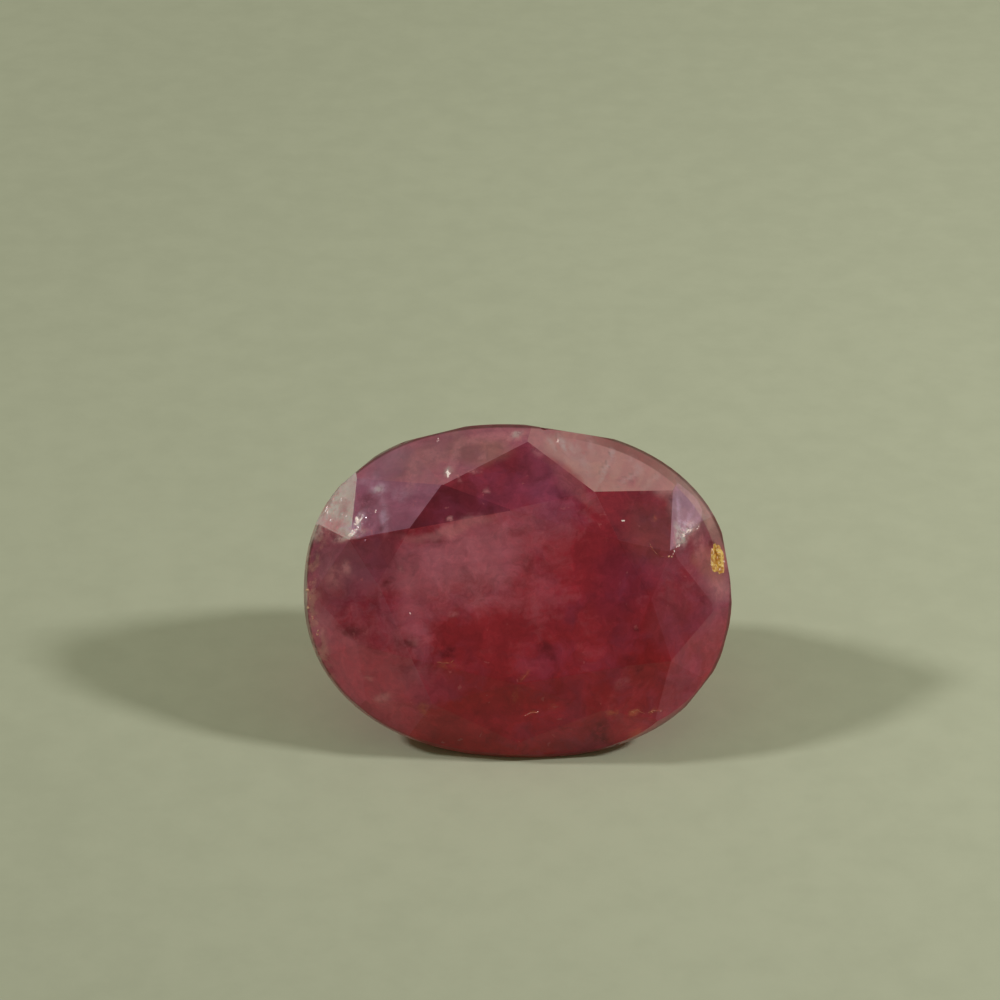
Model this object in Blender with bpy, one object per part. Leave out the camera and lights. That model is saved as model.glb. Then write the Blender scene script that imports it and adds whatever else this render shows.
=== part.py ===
"""A cut ruby: an oval stone with a brilliant crown, leaning back on one flat of its deep pavilion.

The stone is ground in its own frame. Its +x runs along the oval, +y across it, and +z out of the
table, with z = 0 at the widest line of the rim. The last step tips it back onto its resting flat.
Lengths are in metres, apart from the facet corners, which are in millimetres.
"""

import math

import bmesh
import bpy
from mathutils import Matrix, Vector

MILLIMETRE = 0.001
FULL_TURN = 360

# Points nearer than this to a grinding plane count as lying on it
GRINDING_PRECISION = 2e-7
# A flat has at least this many sides
LEAST_SIDES = 3

# Overall size
LENGTH = 0.0130
WIDTH = 0.0101
CROWN_HEIGHT = 0.00175
STAR_HEIGHT = 0.00135
GIRDLE_THICKNESS = 0.00015
KEEL_DEPTH = 0.0058
# How much higher and deeper the rough stone is than the cut one
ROUGH_MARGIN = 1.2

# Outline, a slightly squared oval that sits a little askew of the facets
OVAL_POWER = 2.25
OVAL_TURN = math.radians(-2)
OUTLINE_STEPS = 120
# Shallow flats worn on the outline: bearing in degrees and depth
OUTLINE_FLATS = ((10, 0.00008), (81, 0.00010), (104, 0.00006), (130, 0.00005), (322, 0.00005))

# Bevelled rim above the widest line, broad at the right-hand end and narrow at the left
RIM_HEIGHT = 0.00045
RIM_NARROW = 0.00012
RIM_WIDE = 0.00060
RIM_WIDE_AT = math.radians(8)
RIM_FALL = 12

# Crown corners as seen from above the table, anticlockwise from the right-hand end, in millimetres.
# Star tip i lies outside the table edge from corner i to corner i + 1.
TABLE_CORNERS = (
    (3.97, -0.20),
    (2.99, 1.57),
    (-0.24, 2.45),
    (-3.23, 1.89),
    (-4.20, 0.26),
    (-3.17, -2.01),
    (0.00, -2.74),
    (3.22, -2.20),
)
STAR_TIPS = (
    (4.57, 1.23),
    (2.28, 3.01),
    (-2.28, 3.20),
    (-5.05, 1.55),
    (-4.81, -1.58),
    (-2.56, -3.35),
    (2.53, -3.55),
    (4.60, -2.07),
)
KITE_TIPS = (
    (6.00, -0.50),
    (4.69, 3.06),
    (0.27, 4.53),
    (-4.90, 3.39),
    (-6.20, -0.10),
    (-4.57, -3.29),
    (0.00, -4.57),
    (4.17, -3.84),
)
# Where the two facets outside each star tip part at the rim: bearing in degrees, and height
RIM_MEETS = (
    (21, 0.00038),
    (53, 0.00022),
    (127, 0.00025),
    (161.5, 0.00038),
    (199, 0.00036),
    (233, 0.00025),
    (304, 0.00030),
    (335, 0.00030),
)

# Pavilion, in three rows from the girdle down: bearing and slope in degrees
RESTING_BEARING = 270
RESTING_SLOPE = 60
MAIN_ROW = (
    (0, 62),
    (49, 60),
    (90, 60),
    (131, 61),
    (180, 63),
    (229, 61),
    (RESTING_BEARING, RESTING_SLOPE),
    (311, 60),
)
MAIN_BITE = 0.00008
# Two break facets stand between each main and the next, at this share of the way from either
BREAK_SHARE = 0.3
BREAK_SLOPE = 68
BREAK_BITE = 0.00003
KEEL_ROW = ((0, 36), (49, 38), (90, 27), (131, 36), (180, 36), (221, 39), (270, 41), (319, 39))
KEEL_Y = -0.00085
KEEL_LEFT = -0.0024
KEEL_RIGHT = 0.0023

# Damage at the rim: bearing in degrees, height, and size along, across and into the stone
RIM_DAMAGE = {
    "stained_pit": (10, 0.00022, (0.00052, 0.00024, 0.00012)),
    "rim_nick": (81, 0.00015, (0.00014, 0.00040, 0.00010)),
}

# How finely the rounded cutters are divided
CUTTER_DETAIL = 2

RUBY_COLOUR = (0.33, 0.035, 0.06, 1.0)
RUBY_ROUGHNESS = 0.12
RUBY_METALLIC = 0.0
RUBY_INDEX = 1.77
RUBY_TRANSMISSION = 0.6


def clear_scene():
    """Removes every object of the scene."""
    for obj in list(bpy.data.objects):
        bpy.data.objects.remove(obj, do_unlink=True)


def collection_named(name):
    """A new collection, linked to the scene."""
    made = bpy.data.collections.new(name)
    bpy.context.scene.collection.children.link(made)
    return made


def ruby_material():
    """Deep pink-red, polished and see-through."""
    material = bpy.data.materials.new("ruby")
    material.use_nodes = True
    shader = material.node_tree.nodes["Principled BSDF"]
    shader.inputs["Base Color"].default_value = RUBY_COLOUR
    shader.inputs["Roughness"].default_value = RUBY_ROUGHNESS
    shader.inputs["Metallic"].default_value = RUBY_METALLIC
    shader.inputs["IOR"].default_value = RUBY_INDEX
    shader.inputs["Transmission Weight"].default_value = RUBY_TRANSMISSION
    return material


def outline(bearing):
    """The point of the oval outline at this bearing from the middle, in the girdle plane."""
    turned = bearing - OVAL_TURN
    along = abs(math.cos(turned)) / (LENGTH / 2)
    across = abs(math.sin(turned)) / (WIDTH / 2)
    radius = (along**OVAL_POWER + across**OVAL_POWER) ** (-1 / OVAL_POWER)
    return Vector((radius * math.cos(bearing), radius * math.sin(bearing), 0))


def rim_inset(bearing):
    """How far the bevelled rim leans in over its height."""
    share = ((1 + math.cos(bearing - RIM_WIDE_AT)) / 2) ** RIM_FALL
    return RIM_NARROW + (RIM_WIDE - RIM_NARROW) * share


def rim_point(bearing, height):
    """The point of the outside of the rough shape at this bearing and height."""
    edge = outline(bearing)
    lean = rim_inset(bearing) * max(height, 0) / RIM_HEIGHT
    return edge * (1 - lean / edge.length) + Vector((0, 0, height))


def support(bearing):
    """How far out the outline reaches in the direction of this bearing."""
    direction = Vector((math.cos(bearing), math.sin(bearing), 0))
    steps = [2 * math.pi * step / OUTLINE_STEPS for step in range(OUTLINE_STEPS)]
    return max(outline(step).dot(direction) for step in steps)


def rough_stone():
    """The shape before faceting: an oval prism whose wall leans in above the widest line."""
    stone = bmesh.new()
    top = ROUGH_MARGIN * CROWN_HEIGHT
    bottom = -ROUGH_MARGIN * KEEL_DEPTH
    bmesh.ops.create_cone(
        stone,
        cap_ends=True,
        segments=OUTLINE_STEPS,
        radius1=1,
        radius2=1,
        depth=top - bottom,
        matrix=Matrix.Translation((0, 0, (top + bottom) / 2)),
    )
    geometry = stone.verts[:] + stone.edges[:] + stone.faces[:]
    bmesh.ops.bisect_plane(stone, geom=geometry, plane_co=(0, 0, 0), plane_no=(0, 0, 1))
    for vertex in stone.verts:
        bearing = math.atan2(vertex.co.y, vertex.co.x)
        vertex.co = rim_point(bearing, vertex.co.z)
    return stone


def grind(stone, point, normal):
    """Takes away what lies outside the plane and closes the stone with one flat."""
    geometry = stone.verts[:] + stone.edges[:] + stone.faces[:]
    cut = bmesh.ops.bisect_plane(
        stone,
        geom=geometry,
        dist=GRINDING_PRECISION,
        plane_co=point,
        plane_no=normal,
        clear_outer=True,
    )
    edges = [piece for piece in cut["geom_cut"] if isinstance(piece, bmesh.types.BMEdge)]
    if len(edges) >= LEAST_SIDES:
        bmesh.ops.contextual_create(stone, geom=edges)


def grind_outline(stone):
    """The shallow upright flats of the outline."""
    for bearing, depth in OUTLINE_FLATS:
        facing = math.radians(bearing)
        normal = Vector((math.cos(facing), math.sin(facing), 0))
        grind(stone, normal * (support(facing) - depth), normal)


def grind_through(stone, first, second, third):
    """Grinds the crown flat that passes through three points."""
    normal = (second - first).cross(third - first).normalized()
    if normal.z < 0:
        normal.negate()
    grind(stone, first, normal)


def corners_at(places, height):
    """Crown corners in metres, from their places in millimetres."""
    return [Vector((x * MILLIMETRE, y * MILLIMETRE, height)) for x, y in places]


def on_plane(place, first, second, third):
    """The point of the plane through three points that lies straight above or below a place."""
    normal = (second - first).cross(third - first)
    x, y = (value * MILLIMETRE for value in place)
    fall = normal.x * (x - first.x) + normal.y * (y - first.y)
    return Vector((x, y, first.z - fall / normal.z))


def grind_crown(stone):
    """The table, eight stars, eight kites, and two facets outside each star tip."""
    table = corners_at(TABLE_CORNERS, CROWN_HEIGHT)
    stars = corners_at(STAR_TIPS, STAR_HEIGHT)
    count = len(table)
    kites = [
        on_plane(KITE_TIPS[i], table[i], stars[i - 1], stars[i]) for i in range(count)
    ]
    meets = [rim_point(math.radians(bearing), height) for bearing, height in RIM_MEETS]
    grind(stone, (0, 0, CROWN_HEIGHT), (0, 0, 1))
    for i in range(count):
        following = (i + 1) % count
        grind_through(stone, table[i], table[following], stars[i])
        grind_through(stone, table[i], stars[i - 1], stars[i])
        grind_through(stone, stars[i], kites[i], meets[i])
        grind_through(stone, stars[i], kites[following], meets[i])


def pavilion_normal(bearing, slope):
    """The outward direction of a pavilion flat."""
    flat = math.sin(slope)
    return Vector((flat * math.cos(bearing), flat * math.sin(bearing), -math.cos(slope)))


def grind_from_girdle(stone, bearing, slope, bite):
    """Grinds a pavilion flat that starts at the girdle's lower edge, and bites a little into it."""
    reach = support(bearing) - bite
    point = (reach * math.cos(bearing), reach * math.sin(bearing), -GIRDLE_THICKNESS)
    grind(stone, point, pavilion_normal(bearing, slope))


def grind_pavilion(stone):
    """The mains, of which one is the resting flat, the break facets between them, and the keel."""
    for place, (bearing, slope) in enumerate(MAIN_ROW):
        grind_from_girdle(stone, math.radians(bearing), math.radians(slope), MAIN_BITE)
        gap = (MAIN_ROW[place - 1][0] - bearing) % FULL_TURN - FULL_TURN
        for share in (BREAK_SHARE, 1 - BREAK_SHARE):
            between = math.radians(bearing + share * gap)
            grind_from_girdle(stone, between, math.radians(BREAK_SLOPE), BREAK_BITE)
    for bearing, slope in KEEL_ROW:
        end = KEEL_RIGHT if math.cos(math.radians(bearing)) > 0 else KEEL_LEFT
        normal = pavilion_normal(math.radians(bearing), math.radians(slope))
        grind(stone, (end, KEEL_Y, -KEEL_DEPTH), normal)


def damage_cutter(name, bearing, height, size):
    """A rounded cutter whose middle lies on the rim, standing for what broke away there."""
    shape = bmesh.new()
    bmesh.ops.create_icosphere(shape, subdivisions=CUTTER_DETAIL, radius=1)
    mesh = bpy.data.meshes.new(name)
    shape.to_mesh(mesh)
    shape.free()
    cutter = bpy.data.objects.new(name, mesh)
    cutter.hide_render = True
    cutter.display_type = "WIRE"
    place = Matrix.Translation(rim_point(bearing, height))
    turn = Matrix.Rotation(bearing + math.pi / 2, 4, "Z")
    lean = Matrix.Rotation(-math.atan2(RIM_HEIGHT, rim_inset(bearing)), 4, "X")
    cutter.matrix_world = place @ turn @ lean @ Matrix.Diagonal((*size, 1))
    return cutter


def break_rim(ruby, pose):
    """Cuts the pit and the nick out of the rim."""
    helpers = collection_named("cutters")
    for name, (bearing, height, size) in RIM_DAMAGE.items():
        cutter = damage_cutter(name, math.radians(bearing), height, size)
        cutter.matrix_world = pose @ cutter.matrix_world
        helpers.objects.link(cutter)
        damage = ruby.modifiers.new(name, "BOOLEAN")
        damage.operation = "DIFFERENCE"
        damage.object = cutter


def resting_pose(mesh):
    """Tips the stone back onto its resting flat, and stands its box on the origin."""
    tip = Matrix.Rotation(math.radians(RESTING_SLOPE), 4, "X")
    turned = [tip @ vertex.co for vertex in mesh.vertices]
    low = [min(point[axis] for point in turned) for axis in range(3)]
    high = [max(point[axis] for point in turned) for axis in range(3)]
    middle = Vector(((low[0] + high[0]) / 2, (low[1] + high[1]) / 2, low[2]))
    return Matrix.Translation(-middle) @ tip


def main():
    clear_scene()
    collection = collection_named("ruby")
    stone = rough_stone()
    grind_outline(stone)
    grind_crown(stone)
    grind_pavilion(stone)
    bmesh.ops.recalc_face_normals(stone, faces=stone.faces[:])
    mesh = bpy.data.meshes.new("ruby")
    stone.to_mesh(mesh)
    stone.free()
    mesh.materials.append(ruby_material())
    ruby = bpy.data.objects.new("ruby", mesh)
    ruby.matrix_world = resting_pose(mesh)
    collection.objects.link(ruby)
    break_rim(ruby, ruby.matrix_world)


main()
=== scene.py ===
"""Looks of the faceted oval ruby: a clouded, polished stone that leans back on pale paper."""

import math
import random

import bmesh
import bpy
import numpy as np
from mathutils import Matrix, Vector, noise
from mathutils.bvhtree import BVHTree
from mathutils.geometry import delaunay_2d_cdt


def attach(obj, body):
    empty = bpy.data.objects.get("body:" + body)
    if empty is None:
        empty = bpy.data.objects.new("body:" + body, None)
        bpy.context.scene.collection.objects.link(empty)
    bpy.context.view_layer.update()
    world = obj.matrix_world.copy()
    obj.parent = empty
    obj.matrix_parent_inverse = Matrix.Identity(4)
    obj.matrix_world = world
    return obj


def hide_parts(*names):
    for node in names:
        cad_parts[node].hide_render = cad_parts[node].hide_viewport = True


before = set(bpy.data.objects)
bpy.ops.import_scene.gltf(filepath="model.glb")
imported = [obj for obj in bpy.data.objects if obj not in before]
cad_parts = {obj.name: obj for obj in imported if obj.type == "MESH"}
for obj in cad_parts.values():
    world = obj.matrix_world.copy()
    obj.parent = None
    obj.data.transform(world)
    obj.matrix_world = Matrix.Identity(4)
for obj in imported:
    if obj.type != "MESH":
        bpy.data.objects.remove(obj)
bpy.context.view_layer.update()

MM = 0.001
# Spacing of the points that carry the stone's colours, and how near a point may be pulled to that grid
GRID = 0.1
GRID_PULL = 0.002 * MM

# Framing of the photograph, which is 1000 pixels wide
FRAME_PIXELS = 1000
STONE_PIXELS = 425
STONE_LENGTH = 0.0130
PIXEL = STONE_LENGTH / STONE_PIXELS
VIEW_DISTANCE = 0.110
VIEW_ELEVATION = math.radians(31)
SENSOR_WIDTH = 36
NEAR_CLIP = 0.005
FAR_CLIP = 10
STONE_PIXEL = (518.0, 574.5)
STONE_MIDDLE = Vector((0, 0, 0.0044))

# Lamps: direction as azimuth and elevation in degrees, distance, size and power
LAMPS = {
    "right_lamp": ((-10, 38), 0.18, 0.022, 0.139),
    "left_lamp": ((183, 41), 0.5, 0.06, 0.84),
}
ROOM_COLOUR = (0.93, 0.97, 0.62, 1)
ROOM_STRENGTH = 0.21

# The paper, whose colour is painted darker in front and paler towards the right as painted light and
# shade
PAPER_REACH = 1.5
PAPER_PALE = (0.515, 0.53, 0.392, 1)
PAPER_DEEP = (0.485, 0.50, 0.368, 1)

# The stone's own axes: x along the oval, y across it, z out of the table, all in millimetres
STONE_TILT = math.radians(60)
STONE_ORIGIN = Vector((0.003, -0.934, 4.385))
# Half the oval's length and width, and how square it is
OUTLINE = (6.50, 5.05)
OUTLINE_POWER = 2.25

# Facets of the crown: middle (x, y) in millimetres, then how milky, how lilac and how frosted each is
CROWN_FACETS = {
    "table": ((-0.08, -0.12), 0.06, 0.05, 0),
    "top_kite": ((-0.09, 3.29), -0.12, 0.15, 0),
    "upper_right_kite": ((3.82, 2.03), -0.12, 0.00, 0),
    "right_kite": ((4.94, -0.18), 0.03, 0.10, 0),
    "lower_right_kite": ((3.63, -2.91), 0.02, 0.00, 0),
    "bottom_kite": ((-0.01, -3.55), 0.02, 0.00, 0),
    "lower_left_kite": ((-3.78, -2.56), 0.17, 0.11, 0),
    "left_kite": ((-5.06, 0.03), 0.12, 0.12, 0),
    "upper_left_kite": ((-3.96, 2.50), 0.22, 0.75, 0.05),
    "star_1": ((1.68, 2.34), 0.02, 0.05, 0),
    "star_2": ((-2.05, 2.50), -0.36, 0.10, 0),
    "star_3": ((-4.16, 1.23), -0.08, 0.05, 0),
    "star_4": ((-4.06, -1.11), 0.13, 0.10, 0),
    "star_5": ((-1.91, -2.70), 0.05, 0.04, 0),
    "star_6": ((1.92, -2.83), 0.02, 0.00, 0),
    "star_7": ((3.93, -1.49), 0.00, 0.00, 0),
    "star_8": ((4.01, 0.94), -0.02, 0.00, 0),
    "top_left_rim": ((-1.12, 4.73), 0.42, 0.10, 0),
    "upper_left_rim": ((-4.05, 3.89), 0.46, 0.25, 0),
    # Partly painted highlight: the frosted facet is made milky where lamp light scatters off its frost
    "frosted_rim": ((-5.41, 2.73), 0.80, 0.00, 1.0),
    "left_rim_high": ((-6.15, 0.94), 0.05, 0.30, 0),
    "left_rim_low": ((-6.08, -1.08), 0.16, 0.10, 0),
    "lower_left_rim": ((-5.29, -2.67), 0.14, 0.15, 0),
    "bottom_left_rim": ((-3.94, -3.85), 0.11, 0.15, 0),
    "bottom_rim_left": ((-1.83, -4.64), 0.05, 0.00, 0),
    "bottom_rim_right": ((1.49, -4.76), 0.03, 0.00, 0),
    "bottom_right_rim": ((3.59, -4.13), 0.05, 0.00, 0),
    "lower_right_rim": ((4.83, -3.27), 0.16, 0.10, 0),
    "right_rim_low": ((6.00, -1.56), 0.20, 0.10, 0),
    "right_rim_high": ((5.95, 1.10), 0.15, 0.14, 0),
    # Partly painted highlight: the bright triangle is made milky and a little frosted where lamp light
    # scatters off it
    "bright_triangle": ((5.05, 2.50), 0.28, 0.50, 0.12),
    "upper_right_rim": ((3.99, 3.72), 0.86, 0.00, 0),
    "top_right_rim": ((1.78, 4.48), 0.90, 0.00, 0),
}
# A face belongs to the crown if its direction has at least this much of the stone's z
CROWN_SLOPE = 0.25
# How milky, lilac and frosted the pavilion is
PAVILION_LOOK = (0.10, 0.08, 0)

# Edges are worn where they are at least this long and sharp, between faces of at least this area
WORN_EDGE_LENGTH = 0.3 * MM
WORN_EDGE_ANGLE = math.radians(7)
WORN_FACE_AREA = 0.1 * MM ** 2
# Narrowest and broadest flat that is worn on an edge, in millimetres
EDGE_WEAR = (0.02, 0.045)
# Flakes broken out of the rim: direction in degrees, then size and height above the widest line in
# millimetres
RIM_CHIPS = (
    (86, 0.09, 0.10), (71.5, 0.07, 0.08), (62, 0.10, 0.12), (58, 0.06, 0.05), (54.5, 0.11, 0.10),
    (43, 0.08, 0.00), (106, 0.07, 0.10), (128, 0.09, 0.12), (146, 0.11, 0.15), (153, 0.07, 0.05),
    (172, 0.06, 0.05), (187, 0.09, 0.10), (201, 0.07, 0.00), (218, 0.10, 0.08), (236, 0.06, 0.02),
    (251, 0.09, 0.05), (284, 0.07, 0.10), (303, 0.11, 0.10), (318, 0.06, 0.00), (341, 0.08, 0.05),
    (356, 0.07, 0.12), (27, 0.09, 0.08),
)
# How far apart the points of the pitted mesh lie, in millimetres
FROST_GRAIN = 0.06
# Frosted places: middle (x, y), reach along x and y, and depth, in millimetres
FROST = (
    ((-5.45, 2.35), (0.55, 0.85), 0.040),
    ((-4.75, 2.00), (0.45, 0.60), 0.030),
    ((5.05, 1.75), (0.35, 0.30), 0.010),
    ((6.03, 1.02), (0.20, 0.50), 0.020),
)
# How often the pits and the finer roughness in them repeat, per millimetre
PIT_SCALE = 7.5
PIT_GRAIN_SCALE = 19

# Clouds in the stone: middle (x, y), reach along and across in millimetres, turn in degrees, strength,
# softness of the border
CLOUDS = (
    ((-1.65, 1.05), (2.1, 0.95), 14, 0.20, 0.45),
    ((-0.50, 0.00), (2.1, 0.85), 14, 0.12, 0.6),
    ((0.95, 2.35), (1.1, 0.50), -25, 0.14, 0.6),
    ((2.00, 3.10), (0.8, 0.30), -50, 0.14, 0.6),
    ((-3.25, -0.90), (1.5, 0.42), -78, 0.12, 0.5),
    ((-3.98, -3.20), (0.28, 0.18), 0, 0.25, 0.6),
    ((-6.00, -0.40), (0.5, 1.3), 0, 0.10, 0.6),
    ((2.80, 0.40), (1.5, 1.6), 0, -0.10, 0.6),
    ((4.20, 2.30), (0.5, 0.5), 0, -0.10, 0.6),
    ((0.90, -1.75), (0.30, 0.22), 60, -0.12, 0.6),
    ((3.50, -2.05), (0.35, 0.25), 0, -0.12, 0.6),
    ((-2.05, -1.85), (0.35, 0.22), 0, -0.12, 0.6),
    ((2.30, -4.10), (0.50, 0.38), 60, -0.16, 0.6),
    ((3.00, -3.40), (1.1, 0.6), 20, 0.06, 0.6),
    ((6.15, 0.20), (0.45, 1.3), 0, 0.20, 0.6),
)
# The painted shade of the lower part lies below this height and to the right of a line through this
# point
DARK_TOP = -0.75
DARK_LEFT_POINT = (-2.45, -1.10)
DARK_LEFT_TURN = math.radians(66)
# How far its top wanders up and down and how softly it sets in from above and from the left, in
# millimetres, and how much clearer, so deeper red, the stone is painted there as part of the shade
DARK_DROOP = 0.7
DARK_TOP_FADE = 0.8
DARK_LEFT_FADE = 0.6
PAINTED_SHADE_CLEARING = 0.07
# Colour and strength of the painted shade, where the pavilion faces the floor and gets little light
PAINTED_SHADE_COLOUR = (0.64, 0.034, 0.046)
PAINTED_SHADE_STRENGTH = 0.5

# Tinted zones: middle (x, y), reach in millimetres, turn in degrees, colour, strength, softness
TINTS = (
    ((1.00, 0.40), (1.45, 0.95), 0, (0.70, 0.030, 0.060), 0.30, 0.7),
    ((-1.80, 1.20), (2.3, 0.80), 14, (0.86, 0.28, 0.42), 0.30, 0.5),
    ((4.20, 1.75), (0.95, 1.00), 0, (0.36, 0.09, 0.08), 0.55, 0.6),
    ((0.85, 3.55), (0.55, 1.50), 18, (0.50, 0.12, 0.25), 0.40, 0.6),
    ((2.95, 0.30), (0.75, 0.95), 0, (0.40, 0.035, 0.11), 0.35, 0.6),
    ((-5.45, 0.75), (0.90, 0.80), 0, (0.38, 0.19, 0.22), 0.40, 0.6),
    ((-0.50, -4.70), (2.60, 0.50), 0, (0.66, 0.008, 0.010), 0.75, 0.5),
    ((3.45, -4.15), (0.60, 0.40), 20, (1.00, 0.10, 0.15), 0.60, 0.6),
    ((-0.20, -3.00), (2.00, 1.00), 0, (0.70, 0.035, 0.045), 0.35, 0.6),
    ((-2.70, 4.10), (1.60, 0.50), 28, (0.47, 0.23, 0.22), 0.60, 0.5),
    ((-3.90, 3.75), (0.90, 0.40), 35, (0.66, 0.38, 0.55), 0.35, 0.6),
    ((-4.45, 1.00), (0.90, 0.60), -50, (0.34, 0.10, 0.15), 0.50, 0.6),
    ((3.75, 3.88), (2.60, 0.50), -28, (1.00, 0.53, 0.52), 0.70, 0.3),
    # Partly painted highlight: this pale grey tint lies where lamp light scatters off the bright
    # triangle
    ((5.18, 2.45), (0.42, 0.50), 20, (0.50, 0.36, 0.38), 0.60, 0.6),
    ((-1.40, -2.60), (0.70, 0.80), 0, (0.45, 0.020, 0.020), 0.35, 0.6),
    ((3.40, -2.10), (0.90, 0.40), 0, (0.45, 0.025, 0.025), 0.35, 0.6),
    ((1.55, 3.32), (1.00, 0.26), -46, (0.70, 0.18, 0.19), 0.70, 0.4),
    ((-4.30, -2.80), (1.50, 0.90), -40, (0.98, 0.16, 0.22), 0.55, 0.6),
    ((-1.80, 2.48), (1.00, 0.32), 12, (0.26, 0.012, 0.035), 0.55, 0.4),
    ((5.95, 0.25), (0.50, 0.60), 0, (0.55, 0.22, 0.22), 0.30, 0.6),
    ((5.90, 0.85), (0.32, 0.55), 10, (0.80, 0.30, 0.10), 0.35, 0.6),
    ((5.50, 2.00), (0.22, 0.50), 20, (0.45, 0.20, 0.20), 0.40, 0.6),
    ((0.20, -3.95), (2.40, 0.55), 0, (1.00, 0.045, 0.095), 0.50, 0.6),
    ((4.66, -1.25), (0.35, 1.00), 8, (0.42, 0.050, 0.080), 0.55, 0.6),
    ((5.20, 2.78), (0.36, 0.34), 0, (0.40, 0.20, 0.28), 0.75, 0.5),
    ((-3.10, -0.20), (0.60, 1.10), 10, (0.92, 0.24, 0.32), 0.25, 0.6),
    ((-2.10, 1.88), (1.60, 0.15), 11, (0.92, 0.38, 0.42), 0.50, 0.4),
    ((5.80, -0.40), (0.25, 0.60), 0, (0.42, 0.10, 0.13), 0.50, 0.6),
    ((5.35, 3.00), (0.30, 0.35), 0, (0.45, 0.25, 0.24), 0.50, 0.6),
    ((5.10, -0.60), (0.80, 0.90), 0, (0.46, 0.08, 0.10), 0.35, 0.7),
    ((-1.20, 4.25), (0.90, 0.40), 12, (0.50, 0.26, 0.18), 0.55, 0.5),
    ((1.60, 4.15), (1.00, 0.35), -32, (1.00, 0.58, 0.55), 0.50, 0.4),
    ((-3.95, 1.25), (0.80, 0.20), 66, (0.34, 0.05, 0.08), 0.60, 0.4),
)
# Small dark inclusions: middle (x, y), reach in millimetres, turn in degrees, strength
DARK_SPOTS = (
    ((0.80, -1.63), (0.22, 0.16), -30, 0.5), ((1.02, -1.95), (0.14, 0.10), 0, 0.4),
    ((3.56, -1.10), (0.12, 0.09), 0, 0.7), ((3.36, -1.95), (0.28, 0.13), 10, 0.4),
    ((3.62, -2.30), (0.10, 0.14), 0, 0.7), ((-2.05, -1.82), (0.26, 0.14), 10, 0.7),
    ((2.46, -4.20), (0.22, 0.34), -20, 0.55), ((2.60, -4.55), (0.10, 0.10), 0, 0.6),
    ((-5.00, -1.20), (0.34, 0.18), 0, 0.6), ((-3.30, -1.55), (0.26, 0.10), 0, 0.6),
    ((-2.30, 1.48), (0.26, 0.06), 8, 0.40), ((-1.80, 1.55), (0.14, 0.06), 14, 0.35),
    ((-3.90, 0.30), (0.20, 0.08), 20, 0.6), ((-4.10, 1.90), (0.10, 0.10), 0, 0.5),
    ((4.60, 2.85), (0.10, 0.07), 0, 0.5), ((1.35, 2.85), (0.16, 0.10), 0, 0.5),
    ((0.30, 0.85), (0.12, 0.30), 0, 0.4), ((5.60, -0.20), (0.20, 0.30), 0, 0.4),
    ((-4.56, 2.66), (0.28, 0.32), 0, 0.5), ((5.90, 1.46), (0.10, 0.08), 0, 0.6),
)
# Small pale clouds close under the surface, the same way
PALE_SPOTS = (
    ((-4.04, -3.21), (0.26, 0.10), 20, 0.6), ((-4.47, -2.63), (0.14, 0.07), 0, 0.5),
    ((-3.08, -1.49), (0.12, 0.13), 0, 0.4), ((-1.92, -0.67), (0.12, 0.08), 0, 0.4),
    ((-5.72, 1.95), (0.32, 0.30), 0, 0.6), ((-5.33, 1.98), (0.18, 0.16), 0, 0.5),
    ((-5.15, 0.70), (0.14, 0.18), 0, 0.6),
    ((-5.55, 0.45), (0.22, 0.35), 0, 0.35), ((-1.92, 3.98), (0.12, 0.42), -12, 0.6),
    ((-3.20, 3.55), (0.16, 0.50), -8, 0.5), ((3.14, -2.72), (0.22, 0.12), 20, 0.2),
    ((-0.05, 4.72), (0.40, 0.15), 8, 0.8),
    ((5.45, 1.40), (0.16, 0.32), 0, 0.5), ((6.15, 0.10), (0.35, 0.35), 0, 0.5),
    ((-0.94, 3.03), (0.08, 0.06), 0, 0.7), ((-1.30, 3.62), (0.18, 0.07), 10, 0.7),
    ((-1.79, 3.40), (0.05, 0.12), 20, 0.7), ((-2.04, 2.19), (0.08, 0.07), 0, 0.9),
    ((-3.48, 0.66), (0.09, 0.05), -40, 0.7), ((-1.10, 4.06), (0.12, 0.07), 20, 0.8),
    # Painted highlights: these two stand for sparkle along the upper left kite's lower border and lamp
    # light on the bright triangle
    ((-5.05, 1.68), (0.45, 0.14), 18, 0.9), ((5.05, 1.78), (0.42, 0.20), 42, 1.0),
    ((-2.60, 4.05), (0.35, 0.30), 0, 0.4),
    ((-1.20, 4.60), (0.60, 0.14), 10, 0.5), ((0.60, 4.45), (0.20, 0.30), 0, 0.6),
)
# Bluish veils close under the surface, the same way
VEILS = (
    ((-4.22, 3.08), (0.26, 0.16), 10, 0.6), ((-4.04, 2.28), (0.12, 0.44), 6, 0.55),
    ((-4.76, 2.14), (0.15, 0.34), -30, 0.8), ((-4.98, 1.78), (0.30, 0.11), -20, 0.8),
    ((-4.60, 3.35), (0.40, 0.14), 20, 0.3), ((-3.55, 2.90), (0.30, 0.20), 0, 0.25),
    # From (4.86, 2.30) on, the veils on the bright triangle are partly painted highlight of lamp light
    # on that facet
    ((4.86, 2.30), (0.06, 0.80), 3, 0.6), ((5.12, 2.20), (0.07, 0.45), -28, 0.45),
    ((5.28, 2.05), (0.08, 0.34), -38, 0.45), ((4.96, 1.85), (0.14, 0.34), 0, 0.6),
)
# Light streaks in the bright upper right facets, the same way
STREAKS = (
    ((1.34, 4.46), (0.07, 0.30), 24, 1.0), ((1.02, 4.40), (0.08, 0.24), 26, 0.6),
    ((1.62, 4.28), (0.09, 0.26), 20, 0.5), ((2.60, 3.64), (0.08, 0.42), -25, 0.9),
    ((2.87, 4.16), (0.08, 0.20), 17, 1.0), ((1.98, 3.90), (0.12, 0.50), 22, 0.4),
    ((3.36, 3.43), (0.42, 0.08), 30, 0.6), ((4.05, 3.35), (0.36, 0.09), 44, 0.4),
    ((2.20, 4.42), (0.10, 0.24), 12, 0.4), ((3.55, 3.85), (0.12, 0.30), 40, 0.4),
)
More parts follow.
